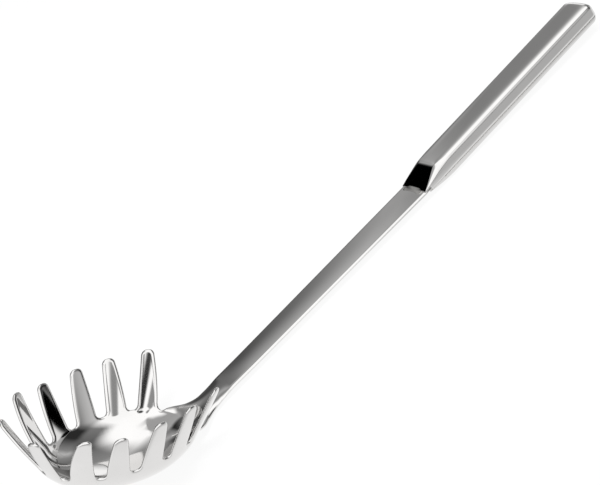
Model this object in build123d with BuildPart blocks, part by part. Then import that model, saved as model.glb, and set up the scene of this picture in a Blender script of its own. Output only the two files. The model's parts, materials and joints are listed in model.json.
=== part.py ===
"""Pasta server with a stamped twelve-tine head, a flat shank and a hollow handle.

Row frame: the server lies on a table at Z = 0, bowl up, with +X from the bowl to the handle's end
and the XZ plane as its plane of symmetry. The origin is the middle of its footprint.

The head has a frame of its own, in which the floors of the gaps between the tines lie in the
plane z = 0 and the dish hangs below it. The table's slope in that frame is worked out from the
two places that touch the table: the dish's underside and the lower shell of the handle.
"""

from build123d import *

import os
from math import cos, radians, sin, sqrt, tan

# Sheet
sheet = 1.65                # thickness of the stamped head, shank and tang
shell_wall = 1.0            # thickness of the two pressed handle shells
shank_edge_radius = 0.3     # rounding on the long edges of the shank

# Dish, measured to the middle of the sheet
base_radius = 45.0          # the flat arc of the dish's base, across the head
base_turn = 23.0            # degrees that the base arc turns
side_radius = 18.4          # the tighter arc that turns the base up into the wall
side_turn = 43.0            # degrees that the side arc turns
oval_ratio = 1.24           # length of the dish along the head against its width
dish_centre = 0.8           # centre of the oval, along the head from its own origin

# Tines
tine_height = 20.8          # height of a plain tine above the gap floors
end_lean = 34.5             # outward lean of the wall, front and back, degrees from upright
side_lean = 24.0            # the same at the sides
tip_shift = 1.6             # how far the oval's centre moves towards the handle at tine height
tine_tip_width = 5.3
tip_corner_radius = 2.2
gap_corner_radius = 1.9
gap_floor = 4.4             # width of the floor of each gap between two tines

# Where the gaps and the tines' tips stand round the oval, in degrees from the front, on each side
gap_angles = (25.5, 53.1, 77.0, 100.5, 123.6)
tip_angles = (24.6, 53.0, 70.3, 90.8, 108.6, 130.3)
# How far each hand-bent tine stands above or below the plain height
far_tine_rises = (0.0, 2.1, 0.0, 0.0, 0.2, 0.8)
near_tine_rises = (0.5, 0.0, -2.2, -0.8, 0.0, 0.0)

# Rim behind the last tines
back_rim_drop = 0.9         # the rim that carries the neck lies this far below the gap floors
back_rim_angle = 146.0      # where the last tine's rear edge reaches the rim
back_relief_angle = 150.0   # where the cut behind the last tine is set square to the wall
back_relief_width = 14.0    # width of that cut
back_rim_half = 16.0        # half the width of the straight cut between the two

# Neck and shank
shank_slope = 26.3          # degrees, in the head's frame
shank_rise = 8.35           # height of the shank's top where its straight sides start
shank_start = 53.0          # distance of that place along the head
shank_length = 123.5        # from there to the foot of the handle's slanted front
shank_root_width = 13.8
shank_end_width = 16.4
neck_bend_radius = 9.0      # bend from the level rim up into the shank
neck_inner_reach = 24.0     # where the neck's sheet starts, inside the dish's edge
# The flare that widens the shank into the rim: distance back from its start, half width
neck_flare = ((7.8, 6.95), (14.5, 8.0), (18.6, 10.0), (21.5, 13.0), (24.2, 15.2))

# Handle
handle_slope = 28.0         # degrees, in the head's frame
handle_length = 123.5       # from the foot of the slanted front to the end, at the seam
handle_width = 16.4         # across the seam at the front
handle_end_width = 17.4     # across the seam at the end
handle_draft = 4.2          # draft of the pressed sides, degrees
handle_top = 5.0            # height of the flat top over the tang's top
handle_depth = 10.4         # from the flat top to the underside
handle_top_radius = 2.3
handle_bottom_radius = 2.4
handle_corner_radius = 3.0  # corners of the end, seen from above
handle_end_bulge = 0.8      # crown of the end, seen from above
front_ramp = 12.0           # length of the slanted front
front_blunt = 0.6           # the slanted front's thin foot is cut back by this much
nose_start = 2.6            # where the lower shell's nose begins
nose_length = 10.0          # over which it reaches full depth
tang_length = 42.0
tang_side_gap = 0.4         # between the tang and the inside of the upper shell
shoulder = 4.0              # full shank width that runs on under the slanted front
shoulder_gap = 0.3          # between the shoulders and the skirts of the upper shell
seam_height = 0.4           # height of the filler in the joint between the shells
seam_recess = 0.15          # how far the filler lies inside the shells' sides
bead_leg = 1.8              # how far the weld beads at the neck reach over each of their faces
bead_rise = 0.25            # crown of a bead over a flat fillet
bead_end_gap = 0.4          # how far a bead stops short of the rounded edges beside it
overrun = 1.0               # how far cutting solids run past what they cut
form_overrun = 4.0          # the same past the seam, for the blocks of the handle's shells
form_start = 30.0           # how far in front of the handle those blocks start
wall_cut_reach = 18.0       # how far the cutters of the gaps reach either side of the wall

# How finely the table's slope is looked for
dish_steps = 100
halvings = 40
steepest_slope = 80.0       # degrees

# The oval wall, worked out from those sizes
rim_turn = base_turn + side_turn
base_sin, base_cos = sin(radians(base_turn)), cos(radians(base_turn))
rim_sin, rim_cos = sin(radians(rim_turn)), cos(radians(rim_turn))
dish_depth = base_radius * (1 - base_cos) + side_radius * (base_cos - rim_cos)
rim_width = base_radius * base_sin + side_radius * (rim_sin - base_sin)
rim_length = oval_ratio * rim_width
half_sheet = sheet / 2
wall_top = tine_height + max(far_tine_rises + near_tine_rises)


def dish_level(turn, skin):
    """Half length, half width and height of the dish's oval where its profile has turned so far.

    skin moves the oval out from the middle of the sheet, along the profile's normal.
    """
    s, c = sin(radians(turn)), cos(radians(turn))
    if turn <= base_turn:
        width = base_radius * s
        height = base_radius * (1 - c) - dish_depth
    else:
        width = base_radius * base_sin + side_radius * (s - base_sin)
        height = base_radius * (1 - base_cos) + side_radius * (base_cos - c) - dish_depth
    return oval_ratio * width + skin * s, width + skin * s, height - skin * c


def wall_level(height, skin):
    """Half length, half width and centre of the oval at a height above the gap floors."""
    return (
        rim_length + height * tan(radians(end_lean)) + skin / cos(radians(end_lean)),
        rim_width + height * tan(radians(side_lean)) + skin / cos(radians(side_lean)),
        dish_centre + tip_shift * height / tine_height,
    )


def oval_point(angle, height):
    """Point on the middle of the wall, at an angle from the front, positive on the +Y side."""
    length, width, centre = wall_level(height, 0)
    return centre - length * cos(radians(angle)), width * sin(radians(angle))


def oval_way(angle, height):
    """Level unit vector along the oval at that place, in the direction of growing angle."""
    length, width, _ = wall_level(height, 0)
    dx, dy = length * sin(radians(angle)), width * cos(radians(angle))
    return dx / sqrt(dx * dx + dy * dy), dy / sqrt(dx * dx + dy * dy)


# Shank and handle lines in the head's frame
shank_cos, shank_sin = cos(radians(shank_slope)), sin(radians(shank_slope))
handle_cos, handle_sin = cos(radians(handle_slope)), sin(radians(handle_slope))
foot_x = shank_start + shank_length * shank_cos
foot_z = shank_rise + shank_length * shank_sin
handle_under = handle_depth - handle_top
lower_top = sheet + seam_height


def handle_point(along, up):
    """Place in the head's frame of a point given along the handle and above the tang's top."""
    return (
        foot_x + along * handle_cos - up * handle_sin,
        foot_z + along * handle_sin + up * handle_cos,
    )


def drop_under(slope, x, z):
    """How far a point lies below a line through the head's origin with that slope."""
    return x * sin(radians(slope)) - z * cos(radians(slope))


def dish_drop(slope):
    """The same for the lowest place of the dish's underside."""
    levels = [dish_level(rim_turn * i / dish_steps, half_sheet) for i in range(dish_steps + 1)]
    return max(drop_under(slope, dish_centre + level[0], level[2]) for level in levels)


def resting_slope(x, z):
    """Slope of the line that touches the dish's underside and passes through a handle point.

    Found by halving: on a steeper line the handle point drops below the dish.
    """
    low, high = 0, steepest_slope
    for _ in range(halvings):
        middle = (low + high) / 2
        if drop_under(middle, x, z) > dish_drop(middle):
            high = middle
        else:
            low = middle
    return low


# The table touches the lower shell at the end of its nose or at its rear end, whichever is lower
table_slope = min(
    resting_slope(*handle_point(nose_start + nose_length, -handle_under)),
    resting_slope(*handle_point(handle_length - handle_bottom_radius, -handle_under)),
)
table_cos, table_sin = cos(radians(table_slope)), sin(radians(table_slope))
front_length, _, front_centre = wall_level(tine_height, 0)
front_reach = table_cos * (front_centre - front_length) + table_sin * tine_height
end_x, end_z = handle_point(handle_length + handle_end_bulge, 0)
end_reach = table_cos * end_x + table_sin * end_z
head_plane = Plane(
    origin=(-(front_reach + end_reach) / 2, 0, dish_drop(table_slope)),
    x_dir=(table_cos, 0, -table_sin),
    z_dir=(table_sin, 0, table_cos),
)


def place(x, y, z):
    """Row-frame position of a point of the head's frame."""
    return head_plane.from_local_coords(Vector(x, y, z))


def heading(x, y, z):
    """Row-frame direction of a direction of the head's frame."""
    return place(x, y, z) - place(0, 0, 0)


# Upright plane of symmetry with the head's x and z, and the planes of the shank and the handle
section_plane = Plane(origin=head_plane.origin, x_dir=head_plane.x_dir, z_dir=(0, -1, 0))
foot = place(foot_x, 0, foot_z)
shank_plane = Plane(
    origin=foot, x_dir=heading(shank_cos, 0, shank_sin), z_dir=heading(-shank_sin, 0, shank_cos)
)
handle_plane = Plane(
    origin=foot, x_dir=heading(handle_cos, 0, handle_sin), z_dir=heading(-handle_sin, 0, handle_cos)
)

# Head: an oval dish lofted through level ovals, and the straight wall ruled on its rim
dish_shares = (0.08, 0.2, 0.33, 0.45, 0.56, 0.67, 0.78, 0.89, 1.0)


def oval_block(skin, top):
    """Solid inside the oval surface that lies skin out from the middle of the sheet."""
    with BuildPart() as block:
        for share in dish_shares:
            length, width, height = dish_level(rim_turn * share, skin)
            with BuildSketch(head_plane.offset(height)):
                with Locations((dish_centre, 0)):
                    Ellipse(length, width)
        loft()
        with BuildSketch(head_plane.offset(height)):
            with Locations((dish_centre, 0)):
                Ellipse(length, width)
        top_length, top_width, top_centre = wall_level(top, skin)
        with BuildSketch(head_plane.offset(top)):
            with Locations((top_centre, 0)):
                Ellipse(top_length, top_width)
        loft(ruled=True)
    return block.part


outer_block = oval_block(half_sheet, wall_top)
dish_cavity = oval_block(-half_sheet, wall_top + overrun)
inside_of_wall = oval_block(0, wall_top + overrun)


def tine_tip(index, side):
    """Middle of a tine's tip, the way along the oval there, and its height; side is 1 or -1."""
    rises = far_tine_rises if side > 0 else near_tine_rises
    height = tine_height + rises[index]
    angle = side * tip_angles[index]
    return oval_point(angle, height), oval_way(angle, height), height


def wall_plane(angle):
    """Upright plane square to the wall at an angle, its x along the oval and its y up."""
    x, y = oval_point(angle, 0)
    way_x, way_y = oval_way(angle, 0)
    return Plane(
        origin=place(x, y, 0), x_dir=heading(-way_x, -way_y, 0), z_dir=heading(-way_y, way_x, 0)
    )


def tip_corner(angle, tip, sign):
    """Where one tine's tip stands in the plane of a gap: its middle, its edge and its height.

    sign is 1 for the tine on the plane's low side and -1 for the one on its high side.
    """
    (tip_x, tip_y), (way_x, way_y), height = tip
    gap_x, gap_y = oval_point(angle, 0)
    gap_way_x, gap_way_y = oval_way(angle, 0)
    middle = -(tip_x - gap_x) * gap_way_x - (tip_y - gap_y) * gap_way_y
    lean = abs(way_x * gap_way_x + way_y * gap_way_y)
    return middle, middle + sign * lean * tine_tip_width / 2, height


def cut_wall(angle, points, radii):
    """Cut an outline, drawn in the plane of a gap, through the wall."""
    with BuildSketch(wall_plane(angle)) as outline:
        with BuildLine():
            FilletPolyline(*points, radius=radii, close=True)
        make_face()
    extrude(outline.sketch, amount=wall_cut_reach, both=True, mode=Mode.SUBTRACT)


def cut_gap(angle, low_tip, high_tip):
    """Cut the gap between two tines down to its floor, with half of each tine's rounded tip."""
    low_middle, low_edge, low_height = tip_corner(angle, low_tip, 1)
    high_middle, high_edge, high_height = tip_corner(angle, high_tip, -1)
    above = wall_top + overrun
    low_end, high_end = low_middle - overrun, high_middle + overrun
    points = (
        (low_end, above), (low_end, low_height), (low_edge, low_height),
        (-gap_floor / 2, 0), (gap_floor / 2, 0),
        (high_edge, high_height), (high_end, high_height), (high_end, above),
    )
    tip_radius, floor_radius = tip_corner_radius, gap_corner_radius
    cut_wall(angle, points, (0, 0, tip_radius, floor_radius, floor_radius, tip_radius, 0, 0))


def cut_behind(side):
    """Cut away the wall behind the last tine of one side, down to the rim that carries the neck."""
    angle = side * back_relief_angle
    middle, edge, height = tip_corner(angle, tine_tip(-1, side), -side)
    root_x, root_y = oval_point(side * back_rim_angle, 0)
    at_x, at_y = oval_point(angle, 0)
    way_x, way_y = oval_way(angle, 0)
    root = -(root_x - at_x) * way_x - (root_y - at_y) * way_y
    far, above, floor = root - side * back_relief_width, wall_top + overrun, -back_rim_drop
    start = middle + side * overrun
    points = (
        (start, above), (start, height), (edge, height), (root, floor), (far, floor), (far, above)
    )
    cut_wall(angle, points, (0, 0, tip_corner_radius, gap_corner_radius, 0, 0))


# The sheet of shank and tang seen from the side, and then trimmed to two outlines from above
neck_reach = rim_width
with BuildPart() as bent_sheet:
    with BuildSketch(section_plane):
        with BuildLine():
            FilletPolyline(
                (neck_inner_reach, -back_rim_drop),
                (foot_x - (foot_z + back_rim_drop) / tan(radians(shank_slope)), -back_rim_drop),
                (foot_x, foot_z),
                handle_point(tang_length, 0),
                radius=(neck_bend_radius, 0),
            )
            offset(amount=sheet, side=Side.RIGHT, closed=True)
        make_face()
    extrude(amount=neck_reach, both=True)

with BuildPart() as shank:
    add(bent_sheet.part)
    with BuildSketch(shank_plane):
        with BuildLine():
            flare = Spline(
                (-shank_length, shank_root_width / 2),
                *[(-shank_length - back, half) for back, half in neck_flare],
                tangents=((-1, 0), (-1, 1)),
            )
            Polyline(
                flare @ 1, (-shank_length - neck_flare[-1][0], 0),
                (0, 0), (0, shank_end_width / 2), flare @ 0,
            )
        make_face()
        mirror(about=Plane.XZ)
    extrude(amount=neck_reach, both=True, mode=Mode.INTERSECT)
    fillet(shank.edges().filter_by(lambda edge: edge.length > shank_length / 2), shank_edge_radius)
    add(inside_of_wall, mode=Mode.SUBTRACT)

with BuildPart() as tang:
    add(bent_sheet.part)
    with BuildSketch(shank_plane):
        with Locations((shoulder / 2, 0)):
            Rectangle(shoulder, shank_end_width)
        with Locations((tang_length / 2 + overrun, 0)):
            Rectangle(
                tang_length + 2 * overrun, handle_width - 2 * shell_wall - 2 * tang_side_gap,
            )
        with Locations((-overrun, 0)):
            Rectangle(2 * overrun, shank_end_width, mode=Mode.SUBTRACT)
    extrude(amount=neck_reach, both=True, mode=Mode.INTERSECT)

with BuildPart() as head_and_shank:
    add(outer_block)
    add(dish_cavity, mode=Mode.SUBTRACT)
    cut_gap(0, tine_tip(0, 1), tine_tip(0, -1))
    for index, angle in enumerate(gap_angles):
        cut_gap(angle, tine_tip(index + 1, 1), tine_tip(index, 1))
        cut_gap(-angle, tine_tip(index, -1), tine_tip(index + 1, -1))
    cut_behind(1)
    cut_behind(-1)
    with BuildSketch(Plane(origin=place(0, 0, 0), x_dir=(0, 1, 0), z_dir=heading(1, 0, 0))):
        with Locations((0, (wall_top + overrun - back_rim_drop) / 2)):
            Rectangle(2 * back_rim_half, wall_top + overrun + back_rim_drop)
    extrude(amount=2 * rim_length, mode=Mode.SUBTRACT)
    add(shank.part)
    add(tang.part)

# Each half of the handle is drawn on its own plane, whose z points outward from the seam
upper_plane = Plane(origin=foot, x_dir=handle_plane.x_dir, z_dir=handle_plane.z_dir)
lower_plane = Plane(origin=foot, x_dir=handle_plane.x_dir, z_dir=-handle_plane.z_dir)
upper_section = Plane(origin=foot, x_dir=handle_plane.x_dir, z_dir=(0, -1, 0))
lower_section = Plane(origin=foot, x_dir=handle_plane.x_dir, z_dir=(0, 1, 0))
along_axis = Axis((0, 0, 0), handle_plane.x_dir)
side_spread = (handle_end_width - handle_width) / 2 / handle_length


def handle_outline(plane, grow, start):
    """Sketch of the handle's outline seen from above, grown on its sides and end."""
    start_half = handle_width / 2 + side_spread * start + grow
    end_half = handle_end_width / 2 + grow
    end = handle_length + grow
    with BuildSketch(plane) as outline:
        with BuildLine():
            crown = ThreePointArc((end, -end_half), (end + handle_end_bulge, 0), (end, end_half))
            Polyline(crown @ 1, (start, start_half), (start, -start_half), crown @ 0)
        make_face()
        fillet(outline.vertices().sort_by(Axis.X)[-2:], handle_corner_radius + grow)
    return outline.sketch


def handle_form(plane, section, inset, seam, height, ramp_foot, ramp_slope, edge_radius):
    """Solid of one half of the handle: drafted sides, flat roof, sloping front, rounded edges.

    seam and height are distances outward from the plane; inset moves every face inwards.
    The form reaches past the seam by form_overrun, so that its rounded edges run out cleanly.
    """
    low = seam - form_overrun
    roof = height - inset
    slope_foot = ramp_foot + inset * sqrt(1 + 1 / ramp_slope ** 2)
    draft_grow = form_overrun * tan(radians(handle_draft))
    with BuildPart() as form:
        outline = handle_outline(plane.offset(low), draft_grow - inset, -form_start)
        extrude(outline, amount=roof - low, taper=handle_draft)
        ramp_base = max(seam, 0)
        roof_run = slope_foot + (roof + overrun - ramp_base) / ramp_slope
        low_run = slope_foot + (low - overrun - ramp_base) / ramp_slope
        with BuildSketch(section):
            with BuildLine():
                Polyline(
                    (low_run, low - overrun), (roof_run, roof + overrun),
                    (-2 * form_start, roof + overrun), (-2 * form_start, low - overrun),
                    close=True,
                )
            make_face()
        extrude(amount=handle_end_width, both=True, mode=Mode.SUBTRACT)
        outward = Axis((0, 0, 0), plane.z_dir)
        roof_face = form.faces().sort_by(outward)[-1]
        floor_face = form.faces().sort_by(outward)[0]
        front_face = form.faces().sort_by(along_axis)[0]
        rounded = ShapeList(roof_face.edges() + front_face.edges())
        fillet([edge for edge in rounded if edge not in floor_face.edges()], edge_radius)
    return form.part


ramp_rise = handle_top / front_ramp
nose_rise = (handle_under - lower_top) / nose_length
upper_half = (upper_plane, upper_section)
lower_half = (lower_plane, lower_section)

with BuildPart() as handle_upper_shell:
    add(handle_form(*upper_half, 0, -sheet, handle_top, 0, ramp_rise, handle_top_radius))
    inner_radius = handle_top_radius - shell_wall
    add(
        handle_form(*upper_half, shell_wall, -sheet, handle_top, 0, ramp_rise, inner_radius),
        mode=Mode.SUBTRACT,
    )
    with BuildSketch(upper_section):
        with BuildLine():
            Polyline(
                (front_blunt, handle_top), (front_blunt, 0), (shoulder + shoulder_gap, 0),
                (shoulder + shoulder_gap, -sheet - form_overrun),
                (-form_start, -sheet - form_overrun), (-form_start, handle_top),
                close=True,
            )
        make_face()
    extrude(amount=handle_end_width, both=True, mode=Mode.SUBTRACT)
    split(bisect_by=upper_plane.offset(-sheet), keep=Keep.TOP)

with BuildPart() as handle_lower_shell:
    add(
        handle_form(
            *lower_half, 0, lower_top, handle_under, nose_start, nose_rise, handle_bottom_radius,
        )
    )
    inner_radius = handle_bottom_radius - shell_wall
    add(
        handle_form(
            *lower_half, shell_wall, lower_top, handle_under, nose_start, nose_rise, inner_radius,
        ),
        mode=Mode.SUBTRACT,
    )
    split(bisect_by=lower_plane.offset(lower_top), keep=Keep.TOP)
    blunt_plane = Plane(
        origin=handle_plane.from_local_coords(Vector(nose_start + front_blunt, 0, 0)),
        z_dir=handle_plane.x_dir,
    )
    split(bisect_by=blunt_plane, keep=Keep.TOP)

with BuildPart() as handle_seam_braze:
    seam_plane = lower_plane.offset(sheet)
    extrude(handle_outline(seam_plane, -seam_recess, nose_start + front_blunt), amount=seam_height)
    nose_inside = nose_start + shell_wall * sqrt(1 + 1 / nose_rise ** 2)
    seam_inside = handle_outline(seam_plane, -shell_wall, nose_inside)
    extrude(seam_inside, amount=seam_height, mode=Mode.SUBTRACT)



def weld_bead(section, base_line, corner, front_foot, front_base, rise, half_width):
    """Bead across the shank that fills the corner at the foot of a sloping front.

    base_line is the shank's face from the bead's toe up to the front's blunt foot at corner.
    """
    lap = corner + bead_leg / sqrt(1 + rise ** 2)
    crest = (lap, front_base + (lap - front_foot) * rise)
    toe = base_line[0]
    middle = ((toe[0] + crest[0]) / 2, (toe[1] + crest[1]) / 2 + bead_rise)
    with BuildPart() as bead:
        with BuildSketch(section):
            with BuildLine():
                ThreePointArc(crest, middle, toe)
                Polyline(
                    *base_line, (corner, front_base + (corner - front_foot) * rise), crest,
                )
            make_face()
        extrude(amount=half_width, both=True)
    return bead.part


bend = radians(handle_slope - shank_slope)
top_toe = (-bead_leg * cos(bend), bead_leg * sin(bend))
nose_corner = nose_start + front_blunt
with BuildPart() as neck_weld_top:
    add(
        weld_bead(
            upper_section, (top_toe, (0, 0), (front_blunt, 0)), front_blunt, 0, 0, ramp_rise,
            handle_width / 2 - handle_top_radius - bead_end_gap,
        )
    )
with BuildPart() as neck_weld_under:
    add(
        weld_bead(
            lower_section, ((nose_corner - bead_leg, sheet), (nose_corner, sheet)), nose_corner,
            nose_start, lower_top, nose_rise,
            handle_width / 2 - handle_bottom_radius - bead_end_gap,
        )
    )

pieces = {
    "head_and_shank": head_and_shank,
    "handle_upper_shell": handle_upper_shell,
    "handle_lower_shell": handle_lower_shell,
    "handle_seam_braze": handle_seam_braze,
    "neck_weld_top": neck_weld_top,
    "neck_weld_under": neck_weld_under,
}
os.makedirs("parts", exist_ok=True)
for name, piece in pieces.items():
    piece.part.label = name
    export_step(piece.part, f"parts/{name}.step")
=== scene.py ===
"""Dresses the pasta server's frame: smooth polished pieces, their finishes and a plain studio.

All shapes are worked out in the head's frame: the floors of the gaps between the tines lie in
its plane z = 0, x runs to the handle and y to the far side. The function placed turns and moves
them to the frame in which the server lies on its table. All lengths are in metres.
"""

import json

import bpy
import numpy as np
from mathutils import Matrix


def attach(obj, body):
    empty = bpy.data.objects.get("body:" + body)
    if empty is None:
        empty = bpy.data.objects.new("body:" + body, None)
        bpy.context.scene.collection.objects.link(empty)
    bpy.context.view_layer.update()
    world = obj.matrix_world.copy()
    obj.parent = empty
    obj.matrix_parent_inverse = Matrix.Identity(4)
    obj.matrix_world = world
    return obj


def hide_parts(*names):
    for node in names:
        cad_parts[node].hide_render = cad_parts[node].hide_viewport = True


bl_info = {
    "name": "Pasta server",
    "version": (1, 0, 0),
    "blender": (4, 5, 0),
    "location": "3D View > Sidebar > Pasta server",
    "description": "Builds a polished steel pasta server around its construction frame",
    "category": "Add Mesh",
}

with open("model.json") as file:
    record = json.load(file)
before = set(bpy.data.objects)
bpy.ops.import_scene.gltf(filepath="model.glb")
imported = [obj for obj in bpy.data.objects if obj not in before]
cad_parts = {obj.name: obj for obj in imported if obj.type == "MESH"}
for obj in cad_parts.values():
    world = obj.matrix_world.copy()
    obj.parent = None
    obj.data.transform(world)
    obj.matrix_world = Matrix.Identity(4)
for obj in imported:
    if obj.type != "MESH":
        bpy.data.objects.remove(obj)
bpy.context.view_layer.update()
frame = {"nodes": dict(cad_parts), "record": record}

MM = 0.001
BODY = "root"

# Points this close together are one. The odd number keeps round sizes off the edge of a step.
SAME_POINT = 0.00037 * MM
# A step short enough to take a direction over, and the least height of a shell's section
TINY = 0.01 * MM
# How far the curve of the neck's edge is led on along the shank, so that it ends in line with it
RUN_ON = 4 * MM
# Half the stretch with close rows where the slanted front meets the handle's flat top
FRONT_SPAN = 3 * MM
# Stretch before the handle's end over which its face gains the bulge
BULGE_SPAN = 10 * MM
# Size of the clouds that the buffing leaves in the polish, about 11 mm
CLOUD_SIZE = 100 / 9 * MM

# Points along the parts of each grid
CURVE_POINTS = 9
TINE_ROWS, TIP_ROWS, TINE_HALF_COLUMNS = 16, 13, 10
WALL_ROWS, DISH_ROWS, NECK_ROWS, NECK_HALF_COLUMNS = 14, 40, 60, 13
SHANK_ROWS, CROWN_ROWS = 60, 6
SLANT_ROWS, FRONT_ROWS, HANDLE_ROWS, END_ROWS, CAP_ROWS = 20, 41, 60, 14, 8
SIDE_POINTS, CORNER_POINTS, FLAT_POINTS = 5, 14, 15
BEAD_COLUMNS, BEAD_RINGS = 65, 13
# Rounds of relaxing at the neck's seam, and points measured against the outline at a time
RELAX_ROUNDS = 60
CHUNK = 1500
# Sockets of a Mix node: its two colours and the colour that comes out
COLOUR_A, COLOUR_B, COLOUR_OUT = 6, 7, 2

# Painted pool of light that only the steel's reflections see: the card's glow at distances to
# either side of the server in metres, under the head and under the handle
HEAD_PAINTED_POOL = ((0, 1.05), (0.04, 1.0), (0.06, 0.8), (0.1, 0.6), (0.2, 0.4), (0.4, 0.2), (1, 0.1))
HANDLE_PAINTED_POOL = (
    (0, 0.95), (0.013, 0.9), (0.018, 0.55), (0.05, 0.53), (0.15, 0.45), (0.35, 0.1), (0.5, 0.02),
    (1, 0.02),
)
# Where along the server, in metres, the one painted pool passes into the other
PAINTED_POOL_CHANGE = (0.0, 0.025)
# A painted dark patch, an oval on the card beside the handle that only the steel's reflections
# show:
# its middle in metres, its turn in degrees, its half lengths in metres and its soft edge as a
# share of them
PAINTED_DARK_PATCH = (0.135, -0.16, -37, 0.17, 0.03, 0.15)

# The studio's lowest band: its brightness at places round it, in degrees from +X towards +Y
LOWEST_BAND = (
    (-180, 1.3), (-75, 1.3), (-66, 0.7), (-60, 0.53), (-52, 0.2), (-44, 0.03), (-28, 0.03),
    (-18, 0.15), (-5, 0.3), (3, 0.6), (12, 0.3), (22, 0.2), (36, 0.3), (40, 1.2), (52, 1.2),
    (58, 0.3), (75, 0.12), (100, 0.05), (150, 0.5), (180, 1.2),
)
# The bands above it: between two heights over the horizon, in degrees, the room passes into the
# band that follows them
BANDS = (
    (14, 26, (
        (-180, 1.3), (-66, 1.3), (-50, 0.25), (-20, 0.15), (5, 0.13), (20, 0.22), (35, 0.3),
        (45, 0.6), (53, 0.28), (61, 0.27), (64, 0.45), (67, 0.33), (70, 0.2), (75, 0.08),
        (85, 0.04), (100, 0), (115, 0), (140, 0.3), (180, 1.2),
    )),
    (31, 42, (
        (-180, 1.3), (-66, 1.3), (-50, 0.25), (-20, 0.15), (5, 0.13), (20, 0.22), (35, 0.3),
        (45, 0.6), (53, 0.35), (60, 0.35), (64, 0.65), (70, 0.55), (80, 0.5), (88, 0.3),
        (95, 0), (115, 0), (140, 0.3), (180, 1.2),
    )),
    (36, 54, (
        (-180, 1.35), (45, 1.35), (52, 0.9), (60, 0.3), (85, 0.25), (97, 0), (110, 0),
        (125, 0.2), (180, 0.4),
    )),
    (52, 62, ((-180, 1.35), (50, 1.35), (65, 0.5), (170, 0.4), (180, 0.6))),
    (72, 80, (
        (-180, 0.45), (-140, 0.5), (-110, 0.8), (-60, 1.1), (0, 1.3), (45, 0.9), (60, 0.45),
        (180, 0.45),
    )),
)
# Round screens in the room: azimuth, height and radius in degrees, and brightness
SCREENS = ((-114, 49.7, 3.2, 0.04), (-131, 57, 4, 0.35), (-84.5, 28, 3.2, 0.33))
# How far a screen's edge is soft to either side, in degrees
SCREEN_EDGE = 1.5


# Sizes and colours


def number(name, value, text, **kind):
    """A number property, or one that holds several where the value is a tuple."""
    if isinstance(value, tuple):
        return bpy.props.FloatVectorProperty(
            name=name, description=text, default=value, size=len(value), **kind
        )
    return bpy.props.FloatProperty(name=name, description=text, default=value, **kind)


def scaled(value, factor):
    """A number times a factor, or each number of a tuple."""
    return tuple(part * factor for part in value) if isinstance(value, tuple) else value * factor


def length(name, millimetres, text):
    """One or more lengths, given in millimetres and stored in metres."""
    return number(name, scaled(millimetres, MM), text, unit="LENGTH", precision=5)


def angle(name, degrees, text):
    """One or more angles, given in degrees and stored in radians."""
    return number(name, scaled(degrees, np.pi / 180), text, unit="ROTATION")


def linear(hex_colour):
    """sRGB hex colour as linear red, green, blue and alpha."""
    channels = np.array([int(hex_colour[i:i + 2], 16) for i in (1, 3, 5)]) / 255
    low, high = channels / 12.92, ((channels + 0.055) / 1.055) ** 2.4
    return (*np.where(channels <= 0.04045, low, high), 1.0)


def colour(name, hex_colour, text):
    """A colour, given as an sRGB hex value and stored linear."""
    return number(name, linear(hex_colour), text, subtype="COLOR", min=0, max=1)


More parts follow.
